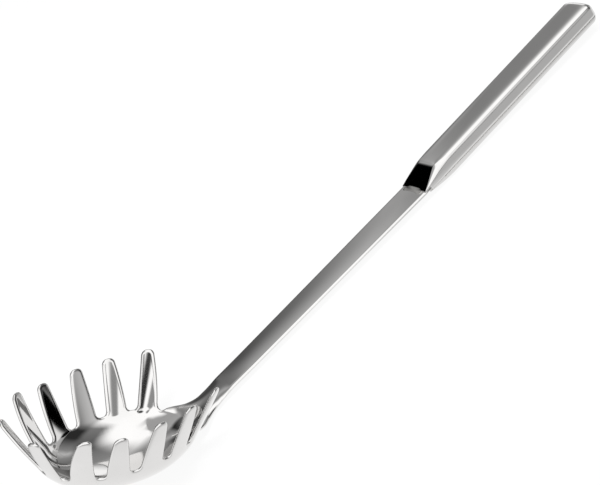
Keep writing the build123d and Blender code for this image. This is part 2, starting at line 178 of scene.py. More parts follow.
class HeadSizes(bpy.types.PropertyGroup):
    """Sizes of the stamped head, its neck, the shank and the tang."""

    sheet: length("Sheet", 1.65, "Thickness of the sheet")
    edge_round: length("Edge rounding", 1.2, "How far in from an edge the sheet begins to thin")
    base_radius: length("Base radius", 45.0, "Flat arc of the dish's base")
    base_turn: angle("Base turn", 23.0, "How far the base arc turns")
    side_radius: length("Side radius", 18.4, "Arc between the base and the wall")
    side_turn: angle("Side turn", 43.0, "How far the side arc turns")
    oval_ratio: number("Oval ratio", 1.24, "Length of the dish against its width")
    dish_centre: length("Dish centre", 0.8, "Centre of the oval along the head")
    wall_start: length("Wall start", -6.0, "Level where the wall leaves the dish")
    tine_height: length("Tine height", 20.8, "Of a plain tine, over the gap floors")
    end_lean: angle("End lean", 34.5, "Outward lean of the wall, front and back")
    side_lean: angle("Side lean", 24.0, "Outward lean of the wall at the sides")
    tip_shift: length("Tip shift", 1.6, "How far the oval's centre moves back at tine height")
    tip_width: length("Tip width", 5.3, "Width of a tine's tip")
    tip_round: length("Tip rounding", 2.2, "Radius of a tip's corners")
    gap_floor: length("Gap floor", 4.2, "Width of the floor of each gap")
    gap_round: length("Gap rounding", 1.6, "Height where its sides turn in")
    gap_angles: angle("Gap angles", (25.5, 53.1, 77.0, 100.5, 123.6), "Gaps, from the front")
    tip_angles: angle(
        "Tip angles", (24.6, 53.0, 70.3, 90.8, 108.6, 130.3), "Tips of the tines, from the front"
    )
    far_rises: length("Far rises", (0.0, 2.1, 0.0, 0.0, 0.2, 0.8), "Rise of each far tine")
    near_rises: length("Near rises", (0.5, 0.0, -2.2, -0.8, 0.0, 0.0), "And of each near tine")
    rear_angle: angle("Rear angle", 143.3, "Foot of the last tine's rear edge")
    notch_angle: angle("Notch angle", 144.6, "Corner between that edge and the rim")
    notch_level: length("Notch level", -0.9, "Level of that corner")
    notch_reach: length("Notch reach", 1.8, "Its rounding, along the wall")
    rim_drop: length("Rim drop", 0.9, "Of the rim, under the gap floors")
    seam_reach: length("Seam reach", 6.0, "Over which wall and rim blend")
    neck_start: length("Neck start", 36.6, "Where the rim starts to rise")
    shank_start: length("Shank start", 53.0, "Where the shank's straight sides start")
    shank_rise: length("Shank rise", 8.35, "Height of its top there")
    shank_slope: angle("Shank slope", 26.3, "Slope of the shank in the head's frame")
    shank_length: length("Shank length", 123.5, "From there to the handle's slanted front")
    shank_crown: length("Shank crown", 0.2, "How far its edges lie lower")
    shank_root: length("Shank root", 13.8, "Width at its start")
    shank_end: length("Shank end", 16.4, "Width at the handle")
    neck_along: length("Neck along", (31.4, 34.6, 37.4, 41.0, 46.5), "Places on its edge")
    neck_half: length("Neck half widths", (14.0, 12.6, 10.3, 8.0, 7.0), "Half widths there")
    shoulder: length("Shoulder", 4.0, "Full width that runs on under the slanted front")
    shoulder_step: length("Shoulder step", 0.2, "Length of each of the two steps behind that")
    shoulder_cut: length("Shoulder cut", 0.6, "By how much the first step narrows the shank")
    shoulder_run: length("Shoulder run", 1.2, "From the first step to the second")
    tang_length: length("Tang length", 42.0, "Reach into the handle")
    tang_width: length("Tang width", 13.6, "Width of the tang")


class HandleSizes(bpy.types.PropertyGroup):
    """Sizes of the two pressed shells of the handle."""

    wall: length("Wall", 1.0, "Thickness of the shells")
    slope: angle("Slope", 28.0, "Slope of the handle in the head's frame")
    reach: length("Length", 126.4, "From the foot of the slanted front to the end")
    width: length("Width", 16.4, "Width across the seam at the front")
    end_width: length("End width", 17.4, "Width across the seam at the end")
    draft: angle("Draft", 4.2, "Draft of the pressed sides")
    top: length("Top", 5.0, "Height of the flat top over the tang's top")
    depth: length("Depth", 10.4, "From the flat top to the underside")
    top_round: length("Top rounding", 2.3, "Radius of the top's long edges")
    top_lean: angle("Top lean", 12.0, "Of the crowned top, at its edges")
    lean_start: length("Lean start", 6.0, "Over which the crown grows")
    front_round: length("Front rounding", 3.6, "Radius of the long edges at the front's top")
    bottom_round: length("Bottom rounding", 2.8, "Radius of the underside's long edges")
    corner_round: length("Corner rounding", 3.0, "Corners of the end, seen from above")
    bulge: length("End bulge", 0.8, "Crown of the end, seen from above")
    ramp: length("Ramp", 12.0, "Length of the slanted front")
    ramp_round: length("Ramp rounding", 0.35, "How softly it meets the flat top")
    foot_width: length("Foot width", 16.0, "Width at its foot")
    end_round: length("End rounding", 3.0, "Radius of the flat faces' edge at the end")
    nose_start: length("Nose start", 2.6, "Where the lower shell's nose begins")
    nose_length: length("Nose length", 10.0, "Over which the nose reaches full depth")
    skirt_start: length("Skirt start", 4.05, "Where the upper shell's skirts begin")
    bead_place: length("Bead place", -0.4, "Middle of the upper weld bead")
    bead_length: length("Bead length", 4.0, "Along the handle")
    bead_width: length("Bead width", 12.0, "Width of the bead")
    bead_height: length("Bead height", 0.25, "Swell over the corner")
    bead_sink: length("Bead sink", 0.06, "How far its rim lies under the steel")
    bead_depth: length("Bead depth", 0.3, "Thickness in its middle")
    seam: length("Seam", 0.4, "Height of the joint between the shells")
    mount_place: length("Mount place", 70.0, "Place of the frame's mount along the flat top")


class ServerFinish(bpy.types.PropertyGroup):
    """Colours and gloss of the finishes."""

    steel: colour("Steel", "#E2E1E0", "Face-on colour of the polished stainless steel")
    steel_cloud: colour("Steel cloud", "#D9D8D7", "The faint clouds that the buffing leaves")
    steel_roughness: number("Polish", 0.05, "Roughness of the mirror polish", min=0, max=1)
    braze: colour("Braze", "#8F8C86", "Filler in the seam")
    weld: colour("Weld", "#B4B1AC", "Dressed weld beads")


class StageSettings(bpy.types.PropertyGroup):
    """Camera and studio."""

    lens: number("Lens", 87.0, "Focal length in millimetres, for a 36 mm wide picture")
    eye: length("Eye", (-222.9, -489.7, 259.4), "Camera's place in the head's frame")
    ahead: number("Ahead", (0.5197, 0.7894, -0.3267), "Where it looks", subtype="DIRECTION")
    right: number("Right", (0.807, -0.5791, -0.1158), "The picture's right", subtype="DIRECTION")
    near: length("Near", 10.0, "Nothing closer is shown")
    floor: colour("Floor", "#F2F2F2", "The card that the server lies on")
    floor_reach: length("Floor reach", 3000.0, "Half of the card's side")
    floor_glow: number("Floor glow", 0.9, "Share of plain white in the card", min=0, max=1)
    lamp_power: number("Lamp power", 8.0, "Power of the overhead lamp", unit="POWER")
    lamp_size: length("Lamp size", (900, 500), "Its sides")
    lamp_place: length("Lamp place", (0, -100, 1000), "Its middle")


# Mesh helpers


def add_mesh(name, points, quads):
    """Smooth object made of quads, some of whose corners have run together to triangles."""
    kept = quads != np.roll(quads, 1, axis=1)
    faces = [quad[keep] for quad, keep in zip(quads, kept) if keep.sum() > 2]
    mesh = bpy.data.meshes.new(name)
    mesh.from_pydata(points, [], faces, shade_flat=False)
    if mesh.validate():
        raise RuntimeError(name + " has faces that a mesh can't hold")
    piece = bpy.data.objects.new(name, mesh)
    bpy.context.collection.objects.link(piece)
    return piece


def grid_quads(rows, columns, first=0):
    """Corner numbers of a grid's quads: up the rows on the left, and growing columns."""
    corner = first + np.arange(rows * columns).reshape(rows, columns)
    quads = [corner[:-1, :-1], corner[:-1, 1:], corner[1:, 1:], corner[1:, :-1]]
    return np.stack(quads, axis=-1).reshape(-1, 4)


def join_grids(grids):
    """Points and quads of several grids, with the points that coincide made one."""
    quads, first = [], 0
    for grid in grids:
        rows, columns = grid.shape[:2]
        quads.append(grid_quads(rows, columns, first))
        first += rows * columns
    points = np.concatenate([grid.reshape(-1, 3) for grid in grids])
    _, first_of, group = np.unique(
        np.round(points / SAME_POINT), axis=0, return_index=True, return_inverse=True
    )
    return points[first_of], group.ravel()[np.concatenate(quads)]


def travel(points):
    """Distance travelled along a row of points, at each of them."""
    steps = np.linalg.norm(np.diff(points, axis=0), axis=-1)
    return np.concatenate([[0], np.cumsum(steps)])


def relax(points, quads, pull, rounds):
    """Moves each point by half its pull towards the mean of its neighbours, a number of times."""
    links = np.concatenate([quads[:, [k, (k + 1) % 4]] for k in range(4)])
    links = np.concatenate([links, links[:, ::-1]])
    count = np.bincount(links[:, 0], minlength=len(points))[:, None]
    for _ in range(rounds):
        total = np.stack([
            np.bincount(links[:, 0], points[links[:, 1], k], len(points)) for k in range(3)
        ], axis=-1)
        points = points + 0.5 * pull[:, None] * (total / count - points)
    return points


def both_ends(count):
    """Shares from 0 to 1 that crowd together at both ends: half the square of equal steps."""
    half = 0.5 * np.linspace(0, 1, count) ** 2
    return np.concatenate([half, 1 - half[-2::-1]])


def smooth_through(knots, values, at):
    """Cubic curve through values at knots, its slope at each the mean slope of its neighbours."""
    knots, values, at = np.asarray(knots), np.asarray(values), np.asarray(at)
    slopes = np.gradient(values, knots, axis=0)
    left = np.clip(np.searchsorted(knots, at, side="right") - 1, 0, len(knots) - 2)
    span = knots[left + 1] - knots[left]
    t = (at - knots[left]) / span
    rise = t * t * (3 - 2 * t)
    return (
        values[left] * (1 - rise) + values[left + 1] * rise
        + slopes[left] * span * t * (1 - t) ** 2 - slopes[left + 1] * span * t * t * (1 - t)
    )


def outline_sides(quads):
    """The sides that belong to one quad only."""
    sides = np.concatenate([quads[:, [k, (k + 1) % 4]] for k in range(4)])
    sides = sides[sides[:, 0] != sides[:, 1]]
    _, kind, uses = np.unique(
        np.sort(sides, axis=1), axis=0, return_inverse=True, return_counts=True
    )
    return sides[uses[kind.ravel()] == 1]


def thicken(points, quads, sheet, edge):
    """Closed sheet round a middle surface, thinned to nothing along its outline.

    Half the thickness at a distance d from the outline is half the sheet times the square root
    of 1 - (1 - d / edge) squared, a quarter ellipse, and half the sheet further in.
    """
    normal = np.zeros_like(points)
    facing = np.cross(
        points[quads[:, 2]] - points[quads[:, 0]], points[quads[:, 3]] - points[quads[:, 1]]
    )
    for corner in range(4):
        np.add.at(normal, quads[:, corner], facing)
    normal /= np.linalg.norm(normal, axis=1, keepdims=True)

    outline = outline_sides(quads)
    starts, ways = points[outline[:, 0]], points[outline[:, 1]] - points[outline[:, 0]]
    distance = np.empty(len(points))
    for first in range(0, len(points), CHUNK):
        some = points[first:first + CHUNK, None] - starts
        share = np.clip((some * ways).sum(-1) / (ways * ways).sum(-1), 0, 1)
        gap = some - share[..., None] * ways
        distance[first:first + CHUNK] = np.sqrt((gap * gap).sum(-1)).min(axis=1)
    distance[np.unique(outline)] = 0
    inside = np.minimum(distance / edge, 1)
    half = 0.5 * sheet * np.sqrt(1 - (1 - inside) ** 2)

    below = np.arange(len(points))
    shared = half == 0
    below[~shared] = len(points) + np.arange((~shared).sum())
    skins = np.concatenate([
        points + normal * half[:, None], (points - normal * half[:, None])[~shared]
    ])
    return skins, np.concatenate([quads, below[quads[:, ::-1]]])


# The head's frame


def placed(head, handle, points):
    """Points of the head's frame in the frame of the table that the server lies on.

    The frame's mount says how it lies: the mount's place along the handle's flat top is known,
    and its axis leans from the vertical by as much as the flat top does from level.
    """
    mount = frame["record"]["mounts"][0]
    slope = handle.slope + np.arctan2(mount["axis"][0], mount["axis"][2])
    known = handle_points(head, handle, handle.mount_place, 0, handle.top)
    x, y, z = np.moveaxis(points - known, -1, 0)
    return np.array(mount["pos_m"]) + np.stack([
        x * np.cos(slope) + z * np.sin(slope), y, z * np.cos(slope) - x * np.sin(slope)
    ], axis=-1)


def handle_points(head, handle, along, across, up):
    """Points of the head's frame, given along the handle and above the top of the tang."""
    foot_x = head.shank_start + head.shank_length * np.cos(head.shank_slope)
    foot_z = head.shank_rise + head.shank_length * np.sin(head.shank_slope)
    cosine, sine = np.cos(handle.slope), np.sin(handle.slope)
    return np.stack(np.broadcast_arrays(
        foot_x + along * cosine - up * sine, across, foot_z + along * sine + up * cosine
    ), axis=-1)


# Head and shank


def oval(head, height):
    """Half length, half width and centre of the middle oval at a height over the gap floors.

    Below the floors the side arc gives it, and above them the wall leans straight out.
    """
    rim_turn = head.base_turn + head.side_turn
    cosine = np.cos(rim_turn) - np.minimum(height, 0) / head.side_radius
    base = (head.base_radius - head.side_radius) * np.sin(head.base_turn)
    width = base + head.side_radius * np.sqrt(1 - cosine ** 2)
    rise = np.maximum(height, 0)
    return (
        head.oval_ratio * width + rise * np.tan(head.end_lean),
        width + rise * np.tan(head.side_lean),
        head.dish_centre + head.tip_shift * rise / head.tine_height,
    )


def wall(head, place, height):
    """Points of the wall's middle, at an angle from the front, positive on the far side."""
    half_length, half_width, centre = oval(head, height)
    return np.stack(np.broadcast_arrays(
        centre - half_length * np.cos(place), half_width * np.sin(place), height
    ), axis=-1)


def turn_for(head, place, height, distance):
    """Angle by which a small distance along the oval moves a place on it."""
    half_length, half_width, _ = oval(head, height)
    return distance / np.hypot(half_length * np.sin(place), half_width * np.cos(place))


def tine_sides(head):
    """Angles of both edges of every tine at the gap floors and at its tip, and its height.

    The rows run round the head by growing angle, from the rear on the near side.
    """
    gaps, tips = np.array(head.gap_angles), np.array(head.tip_angles)
    middles = np.concatenate([-gaps[::-1], [0], gaps])
    floors = turn_for(head, middles, 0, head.gap_floor / 2)
    tip = np.concatenate([-tips[::-1], tips])
    height = head.tine_height + np.concatenate([
        np.array(head.near_rises)[::-1], np.array(head.far_rises)
    ])
    half = turn_for(head, tip, height, head.tip_width / 2)
    share = head.gap_round / height[[0, -1]]
    outer = np.array([tip[0] - half[0], tip[-1] + half[-1]])
    rear = (head.rear_angle * np.array([-1, 1]) - share * outer) / (1 - share)
    low = np.concatenate([rear[:1], middles + floors])
    high = np.concatenate([middles - floors, rear[1:]])
    return np.stack([low, high, tip - half, tip + half, height], axis=1)


def tine_grid(head, sides, across):
    """Middle surface of one tine: columns share out its width, which rounds off at the tip."""
    low, high, tip_low, tip_high, height = sides
    start = head.gap_round
    lean = np.cos(head.side_lean)
    bend = np.linspace(0, np.pi / 2, TIP_ROWS)
    straight = np.linspace(start, height - head.tip_round * lean, TINE_ROWS)[:-1]
    level = np.concatenate([straight, height - head.tip_round * lean * (1 - np.sin(bend))])
    inset = np.concatenate([np.zeros(len(straight)), head.tip_round * (1 - np.cos(bend))])
    share = level / height
    inward = turn_for(head, (tip_low + tip_high) / 2, level, inset)
    left = low + (tip_low - low) * share + inward
    right = high + (tip_high - high) * share - inward
    place = left[:, None] + (right - left)[:, None] * across
    return wall(head, place, level[:, None])


def conic(start, corner, end, weight):
    """Points of the conic from start to end that a weight pulls to the corner between them."""
    t = np.linspace(0, 1, CURVE_POINTS)[:, None]
    share = (1 - t) ** 2 + 2 * weight * t * (1 - t) + t ** 2
    return ((1 - t) ** 2 * start + 2 * weight * t * (1 - t) * corner + t ** 2 * end) / share


def gap_curve(head, left, right):
    """Angles and heights of the points round the floor of the gap between two tines.

    Each corner is a conic through the end of the tine's straight side and a point as far along
    the floor, pulled to where side and floor would meet.
    """
    scale = turn_for(head, (left[1] + right[0]) / 2, 0, 1)
    start = head.gap_round
    arcs = []
    for corner, tip, height in ((left[1], left[3], left[4]), (right[0], right[2], right[4])):
        lean = (tip - corner) / scale / height
        side = np.array([corner / scale + lean * start, start])
        root = np.array([corner / scale, 0])
        way = 1 if corner == left[1] else -1
        reach = np.hypot(*(side - root))
        floor = root + [way * reach, 0]
        weight = np.sqrt((1 + (side - root) @ (floor - root) / -reach ** 2) / 2)
        arcs.append(conic(side, root, floor, weight)[::way])
    return np.concatenate(arcs) * [scale, 1]


def edge_level(head, x):
    """Height of the neck's edge: level beside the wall, then a cubic up to the shank's line."""
    end_x, end_z = shank_foot(head)
    steep = np.tan(head.shank_slope)
    span = end_x - head.neck_start
    t = np.maximum((x - head.neck_start) / span, 0)
    curve = (end_z + head.rim_drop) * t * t * (3 - 2 * t) - steep * span * t * t * (1 - t)
    return np.where(t > 1, end_z + (x - end_x) * steep, curve - head.rim_drop)


def shank_foot(head):
    """Middle of the sheet where the shank's straight sides start, in the plane of symmetry."""
    half = head.sheet / 2
    return (
        head.shank_start + half * np.sin(head.shank_slope),
        head.shank_rise - half * np.cos(head.shank_slope),
    )


def neck_points(head, wall_grid, across):
    """Middle surface of the rim and neck, between the wall's foot and the shank's start.

    Each line along it is a cubic that leaves the foot up the wall and arrives along the shank.
    The outer lines have to climb the wall's last column and follow the neck's edge instead, and
    what they lack is added to every line by the cube of its share of the width.
    """
    last = wall_grid[:, -1]
    _, half_width, _ = oval(head, head.wall_start)
    place = np.pi - np.arcsin(last[0, 1] * across / half_width)
    foot = wall(head, place, head.wall_start)
    rise = wall(head, place, head.wall_start + TINY) - foot
    rise /= np.linalg.norm(rise, axis=-1, keepdims=True)
    end_x, end_z = shank_foot(head)
    end = np.tile([end_x, 0, end_z], (len(across), 1))
    end[:, 1] = head.shank_root / 2 * across
    run = np.array([np.cos(head.shank_slope), 0, np.sin(head.shank_slope)])

    x = np.array([*head.neck_along, end_x, end_x + RUN_ON])
    y = np.array([*head.neck_half, head.shank_root / 2, head.shank_root / 2])
    knots = np.concatenate([
        wall_grid[-1, -2:], np.stack([x, y, edge_level(head, x)], axis=-1)
    ])
    measure = travel(knots)
    rows = np.linspace(measure[1], measure[-2], NECK_ROWS)[1:]
    outer = np.stack([smooth_through(measure, knots[:, k], rows) for k in range(3)], axis=-1)
    edge = np.concatenate([last, outer])
    t = travel(edge)[:, None, None]
    t = t / t[-1]
    reach = np.linalg.norm(end - foot, axis=-1, keepdims=True)
    lines = (
        (1 + 2 * t) * (1 - t) ** 2 * foot + t * (1 - t) ** 2 * reach * rise
        + t * t * (3 - 2 * t) * end - t * t * (1 - t) * reach * run
    )
    lack = np.repeat((edge - lines[:, 0])[:, None], len(across), axis=1)
    lack[..., 1] *= np.sign(across)
    return lines + lack * np.abs(across)[:, None] ** 3


def notch_curve(head):
    """Angles and heights from the last tine's rear edge round the notch before the rim.

    A conic through the end of that edge and a point on along the wall, pulled to the corner.
    """
    corner = np.array([head.notch_angle, head.notch_level])
    side = np.array([head.rear_angle, head.gap_round])
    run = turn_for(head, head.notch_angle, head.notch_level, head.notch_reach)
    return conic(side, corner, corner + [run, 0], np.sqrt(0.5))


def wall_top(head, sides, across):
    """Angles and heights along the wall's upper edge, past every tine's foot and gap floor."""
    start, notch = head.gap_round, notch_curve(head)
    curves = [notch[:0:-1] * (-1, 1)]
    for index, tine in enumerate(sides):
        low, high, tip_low, tip_high, height = tine
        left = low + (tip_low - low) * start / height
        right = high + (tip_high - high) * start / height
        foot = left + (right - left) * across
        curves.append(np.stack([foot, np.full(len(foot), start)], axis=-1))
        if index + 1 < len(sides):
            curves.append(gap_curve(head, tine, sides[index + 1])[1:-1])
    return np.concatenate([*curves, notch[1:]]).T


def dish_grid(head, ring):
    """Rings of the dish's middle surface, from the middle of its base to the wall's foot.

    ring gives the angles of its columns at the foot. From the middle they pass from equal steps
    into these by the square of the share of the turn.
    """
    rim_turn = head.base_turn + head.side_turn
    last_turn = np.arccos(np.cos(rim_turn) - head.wall_start / head.side_radius)
    turn = np.linspace(0, last_turn, DISH_ROWS)[:, None]
    on_base = np.minimum(turn, head.base_turn)
    more = head.base_radius - head.side_radius
    width = head.side_radius * np.sin(turn) + more * np.sin(on_base)
    fall = head.side_radius * np.cos(turn) + more * np.cos(on_base)
    height = head.wall_start + fall[-1] - fall
    even = np.linspace(ring[0], ring[-1], len(ring))
    ring = even + (ring - even) * (turn / last_turn) ** 2
    return np.stack(np.broadcast_arrays(
        head.dish_centre - head.oval_ratio * width * np.cos(ring), width * np.sin(ring), height
    ), axis=-1)


def shank_grid(head, handle, across):
    """Middle surface of shank, shoulders and tang. The shank is crowned but for its start."""
    half = head.sheet / 2
    end_x, end_z = shank_foot(head)
    share = np.linspace(0, 1, SHANK_ROWS)
    foot = handle_points(head, handle, 0, 0, -half)
    line = np.array([end_x, 0, end_z]) * (1 - share[:, None]) + foot * share[:, None]
    widths = head.shank_root + (head.shank_end - head.shank_root) * share
    step, run, cut = head.shoulder_step, head.shoulder_run, head.shank_end - head.shoulder_cut
    along = head.shoulder + np.array([0, step, step + run, 2 * step + run])
    along = np.append(along, head.tang_length)[:, None]
    line = np.concatenate([line, handle_points(head, handle, along, 0 * along, -half)[:, 0]])
    widths = np.append(widths, [head.shank_end, cut, cut, head.tang_width, head.tang_width])
    grid = np.repeat(line[:, None], len(across), axis=1)
    grid[..., 1] = widths[:, None] / 2 * across
    stops = (0, CROWN_ROWS, SHANK_ROWS - 1, SHANK_ROWS)
    crowned = np.interp(np.arange(len(line)), stops, (0, 1, 1, 0))[:, None]
    grid[..., 2] -= head.shank_crown * crowned * across ** 2
    return grid


def head_grids(head, handle):
    """Grids of the middle surface of head, neck, shank and tang, and the wall's last column."""
    sides = tine_sides(head)
    across = both_ends(TINE_HALF_COLUMNS)
    places, tops = wall_top(head, sides, across)
    # The wall's rows crowd together at its top: one less the square of equal steps
    climb = 1 - np.linspace(1, 0, WALL_ROWS)[:, None] ** 2
    levels = head.wall_start + (tops - head.wall_start) * climb
    wall_grid = wall(head, places, levels)
    # The neck's first row lies on the wall's foot between the two last tines
    neck_across = 1 - 2 * both_ends(NECK_HALF_COLUMNS)
    neck = neck_points(head, wall_grid, neck_across)
    neck_places = np.pi - np.arcsin(neck[0, :, 1] / oval(head, head.wall_start)[1])
    grids = [
        *[tine_grid(head, tine, across) for tine in sides], wall_grid, neck,
        dish_grid(head, np.concatenate([places, neck_places[1:]])),
        shank_grid(head, handle, neck_across),
    ]
    return grids, wall_grid[:, -1]


def seam_pull(points, quads, seam, reach):
    """Share of relaxing: 1 on the seam of two grids and on its mirror image, 0 past its reach.

    It falls as the square of one less the squared share of the reach, and is 0 on the outline.
    """
    away = np.stack([points[:, 0], np.abs(points[:, 1]), points[:, 2]], axis=-1)
    near = np.linalg.norm(away[:, None] - seam, axis=-1).min(axis=1) / reach
    pull = (1 - np.minimum(near, 1) ** 2) ** 2
    pull[np.unique(outline_sides(quads))] = 0
    return pull


# Handle


def quarter_fall(along, end, radius):
    """Fall of a quarter circle that ends at a place, with its whole radius fallen there."""
    share = np.clip((along - (end - radius)) / radius, 0, 1)
    return radius * (1 - np.sqrt(1 - share ** 2))


def shell_grid(handle, start, ramp, skirt, reach, radius, lean):
    """Outer face of one pressed shell, as a section swept along the handle and capped.

    The section climbs from the seam up its drafted side, round a corner and over the flat face.
    Its height follows the slanted front as the softer of two lines, and at the end height and
    half width fall back as quarter circles. The seam's level is 0, and skirt from the skirts'
    start on; reach is the flat face's distance from it. The face is crowned by the fourth power
    of the share of its width, and meets the round corner at the slope lean.
    """
    front, end, corner = start + ramp, handle.reach, handle.corner_round
    bend = np.linspace(0, np.pi / 2, END_ROWS)
    along = np.sort(np.concatenate([
        np.linspace(start, front - FRONT_SPAN, SLANT_ROWS)[:-1],
        np.linspace(front - FRONT_SPAN, front + FRONT_SPAN, FRONT_ROWS)[:-1],
        np.linspace(front + FRONT_SPAN, end - corner, HANDLE_ROWS)[:-1],
        end - corner * (1 - np.sin(bend)),
        [handle.skirt_start, handle.skirt_start + TINY],
    ]))[:, None]
    base = np.where(along > handle.skirt_start, skirt, 0)
    slant = (along - start) / ramp * reach - reach
    tall = reach + (slant - np.sqrt(slant ** 2 + handle.ramp_round ** 2)) / 2
    tall = np.maximum(tall, TINY) - quarter_fall(along, end, handle.end_round)
    half = (handle.width + (handle.end_width - handle.width) * along / end) / 2
    half = half - quarter_fall(along, end, corner)
    widen = np.clip(along / handle.skirt_start, 0, 1)
    half = half - (handle.width - handle.foot_width) / 2 * (1 - widen) ** 2 * (1 + 2 * widen)
    grown = np.clip((along - front) / handle.lean_start, 0, 1)
    radius = np.maximum(radius, handle.front_round) * (1 - grown) + radius * grown
    radius = np.minimum(radius, radius / reach * tall)

    draft, lean = handle.draft, lean * grown
    inset = (tall - radius) * np.tan(draft) + radius / np.cos(draft)
    crown = (half - inset + radius * np.sin(lean)) * np.tan(lean) / 4
    centre_up = tall - crown - radius * np.cos(lean)
    centre_half = half - np.maximum(centre_up, 0) * np.tan(draft) - radius / np.cos(draft)
    sweep = draft + (np.pi / 2 - lean - draft) * np.linspace(0, 1, CORNER_POINTS)
    arc_half = centre_half + radius * np.cos(sweep)
    arc_up = centre_up + radius * np.sin(sweep)
    climb = np.linspace(0, 1, SIDE_POINTS)[:-1]
    flat = np.linspace(1, 0, FLAT_POINTS)[1:]
    side_half = half + (arc_half[:, :1] - half) * climb
    side_up = base + (arc_up[:, :1] - base) * climb
    width = np.hstack([side_half, arc_half, arc_half[:, -1:] * flat])
    up = np.hstack([side_up, arc_up, tall - crown * flat ** 4])
    width, up = np.hstack([width, -width[:, -2::-1]]), np.hstack([up, up[:, -2::-1]])

    shrink = np.linspace(1, 0, CAP_ROWS)[1:, None]
    width = np.concatenate([width, width[-1] * shrink])
    up = np.concatenate([up, base[-1] + (up[-1] - base[-1]) * (0.5 + 0.5 * shrink)])
    place = np.concatenate([along, np.repeat(along[-1:], len(shrink), axis=0)])
    at_end = np.clip((place - end + BULGE_SPAN) / BULGE_SPAN, 0, 1)
    bow = handle.bulge * (1 - (2 * width / handle.end_width) ** 2)
    return place + (bow + (reach - up) * np.tan(draft)) * at_end ** 2, width, up


# Materials


def add_node(tree, kind, links=(), **settings):
    """Shader node with its settings; links pairs each of its input sockets with an output."""
    node = tree.nodes.new("ShaderNode" + kind)
    for name, value in settings.items():
        if name in node.bl_rna.properties:
            setattr(node, name, value)
        else:
            node.inputs[name.replace("_", " ")].default_value = value
    for socket, output in links:
        tree.links.new(output, node.inputs[socket])
    return node


def empty_tree(owner):
    """Node tree of a new material or world, with nothing in it."""
    owner.use_nodes = True
    owner.node_tree.nodes.clear()
    return owner.node_tree


def steel_material(name, base, cloud, roughness, coarseness):
    """Metal whose buffing leaves faint clouds: the eye sees them in its colour and its gloss.

    coarseness is the share by which the roughness changes between the clouds.
    """
    material = bpy.data.materials.new(name)
    tree = empty_tree(material)
    place = add_node(tree, "TexCoord")
    clouds = add_node(
        tree, "TexNoise", [("Vector", place.outputs["Object"])],
        Scale=1 / CLOUD_SIZE, Detail=3.0,
    )
    shade = add_node(tree, "Mix", [(0, clouds.outputs["Fac"])], data_type="RGBA")
    shade.inputs[COLOUR_A].default_value = base
    shade.inputs[COLOUR_B].default_value = cloud
    gloss = add_node(
        tree, "MapRange", [("Value", clouds.outputs["Fac"])],
        To_Min=roughness * (1 - coarseness), To_Max=roughness * (1 + coarseness),
    )
    shader = add_node(
        tree, "BsdfPrincipled",
        [("Base Color", shade.outputs[COLOUR_OUT]), ("Roughness", gloss.outputs["Result"])],
        Metallic=1.0,
    )
    add_node(tree, "OutputMaterial", [("Surface", shader.outputs["BSDF"])])
    return material


def give(piece, material):
    """The piece's only material."""
    if piece.material_slots:
        for slot in piece.material_slots:
            slot.material = material
    else:
        piece.data.materials.append(material)


def polished(finish):
    """Mirror-polished stainless: the eye sees the studio in it, hardly blurred."""
    name = "mirror-polished stainless"
    return bpy.data.materials.get(name) or steel_material(
        name, finish.steel, finish.steel_cloud, finish.steel_roughness, coarseness=0.3
    )


def share_between(tree, value, low, high, kind="SMOOTHSTEP"):
    """Share, from 0 to 1, of the way from low to high that a value has gone."""
    share = add_node(
        tree, "MapRange", [("Value", value)], interpolation_type=kind,
        From_Min=low, From_Max=high,
    )
    return share.outputs["Result"]


def ramp_node(tree, at, stops, low, high):
    """Brightness along a line: a colour ramp whose stops are given in the line's own measure."""
    share = share_between(tree, at, low, high, "LINEAR")
    ramp = add_node(tree, "ValToRGB", [("Fac", share)])
    stops = [((place - low) / (high - low), level) for place, level in stops]
    first, last = ramp.color_ramp.elements
    first.position, last.position = stops[0][0], stops[-1][0]
    for place, _ in stops[1:-1]:
        ramp.color_ramp.elements.new(place)
    for element, (_, level) in zip(ramp.color_ramp.elements, stops):
        element.color = (level, level, level, 1)
    return ramp.outputs["Color"]


def blended(tree, share, low, high):
    """One colour passing into another with a share."""
    links = [(0, share), (COLOUR_A, low), (COLOUR_B, high)]
    return add_node(tree, "Mix", links, data_type="RGBA").outputs[COLOUR_OUT]


def mixed(tree, share, first, second):
    """Node that passes from one shader node into another with a share."""
    return add_node(tree, "MixShader", [(0, share), (1, first.outputs[0]), (2, second.outputs[0])])


